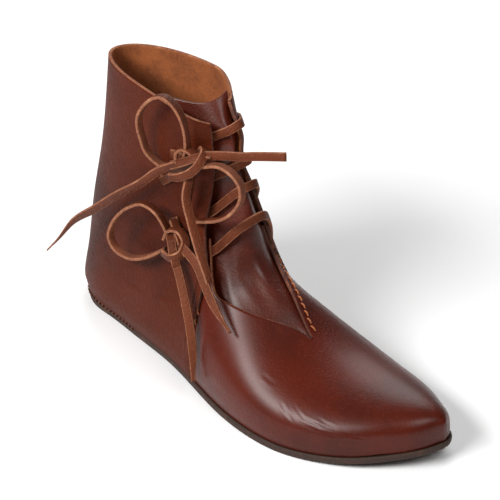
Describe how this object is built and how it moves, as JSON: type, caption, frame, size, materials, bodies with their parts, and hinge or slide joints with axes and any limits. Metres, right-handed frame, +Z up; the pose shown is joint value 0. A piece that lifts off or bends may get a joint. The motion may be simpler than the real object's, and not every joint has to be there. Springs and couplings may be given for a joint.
{
  "type": "medieval style ankle boot",
  "caption": "Right ankle boot of thin brown leather with a low pointed toe, thin flat sole, open collar and leather thongs tied in bows on the outer side.",
  "frame": {"origin": "on the floor under the middle of the heel", "axes": "+X towards the toe, +Y towards the inner side of the foot, +Z up"},
  "size_m": [0.2823, 0.0915, 0.1709],
  "materials": {
    "upper_leather": "glossy",
    "flesh_leather": "matte",
    "sole_leather": "satin",
    "thong_leather": "satin"
  },
  "bodies": {
    "root": {"outsole": "sole_leather", "insole": "flesh_leather", "upper": "upper_leather", "tongue": "upper_leather", "lace_upper_bars": "thong_leather", "lace_lower_bars": "thong_leather", "lace_upper_knot": "thong_leather", "lace_upper_loop_back": "thong_leather", "lace_upper_loop_front": "thong_leather", "lace_upper_end_back": "thong_leather", "lace_upper_end_front": "thong_leather", "lace_upper_end_down": "thong_leather", "lace_lower_knot": "thong_leather", "lace_lower_loop": "thong_leather", "lace_lower_end_long": "thong_leather", "lace_lower_end_short": "thong_leather"}
  },
  "joints": []
}
